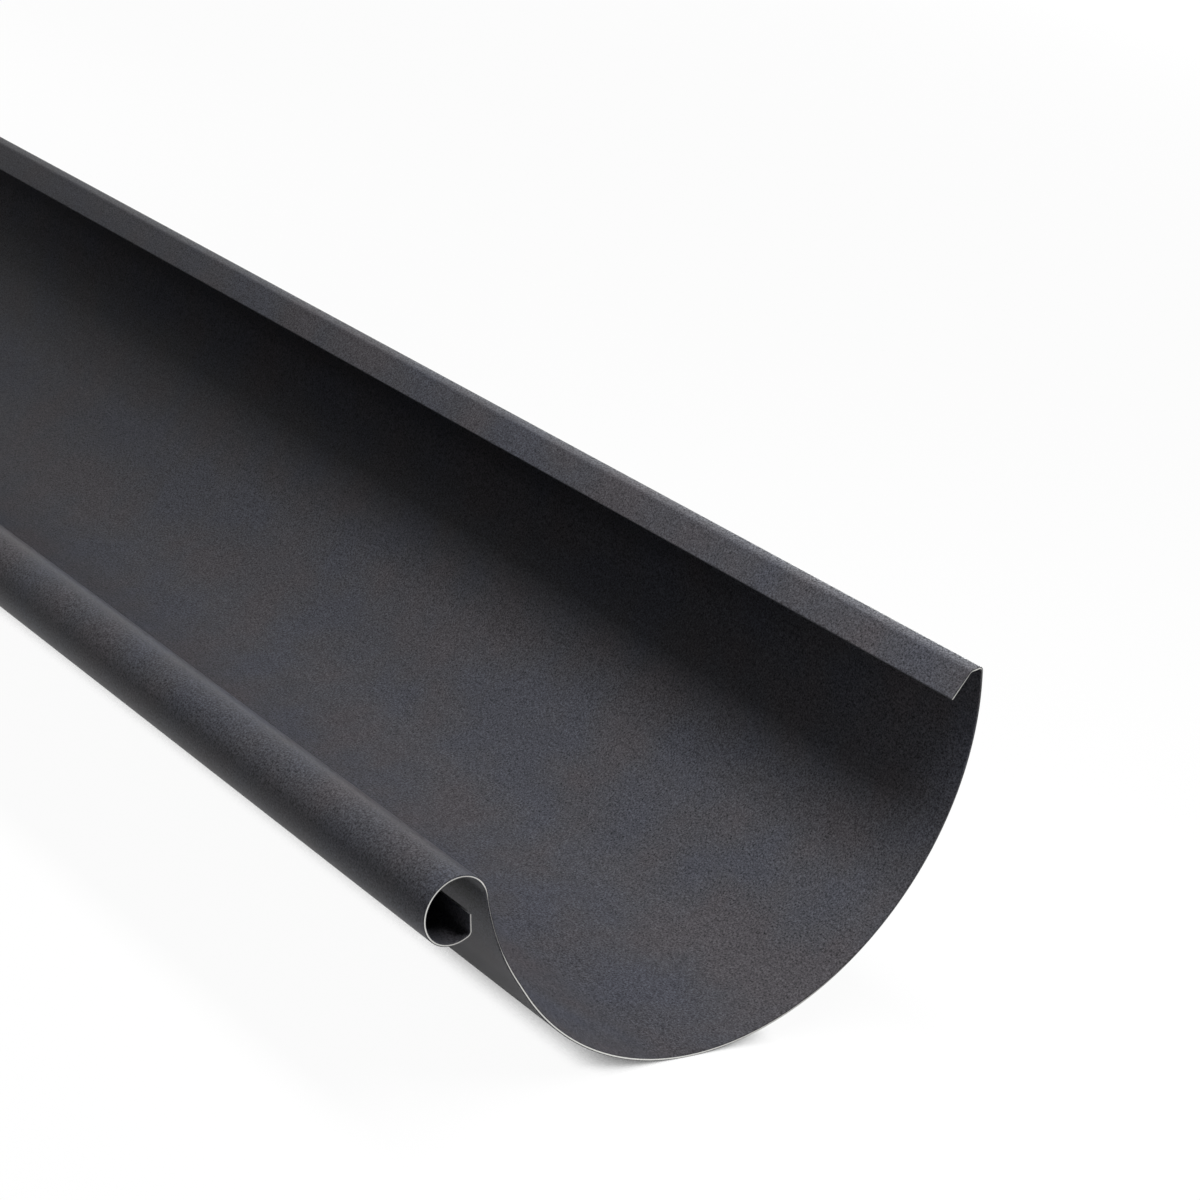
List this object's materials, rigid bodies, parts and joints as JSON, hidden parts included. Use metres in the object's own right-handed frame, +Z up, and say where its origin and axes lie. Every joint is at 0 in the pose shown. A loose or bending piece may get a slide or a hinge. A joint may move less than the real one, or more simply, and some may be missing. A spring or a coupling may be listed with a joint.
{
  "type": "half-round gutter length",
  "caption": "Half-round eaves gutter length in dark coated steel sheet, with a rolled bead along the front edge and a folded flange along the rear edge, open at both ends.",
  "frame": {"origin": "on the floor under the middle of the length, at the middle of the bounding box's base", "axes": "+X along the gutter, +Y towards the rear edge, which faces the wall of the house, +Z up; the section lies as it comes to rest, rolled 14.2 degrees about +X from the attitude with its mouth level"},
  "size_m": [2, 0.1391, 0.082],
  "materials": {
    "coated_steel": "semi-matt anthracite coil coating"
  },
  "bodies": {
    "root": {"gutter": "coated_steel"}
  },
  "joints": []
}
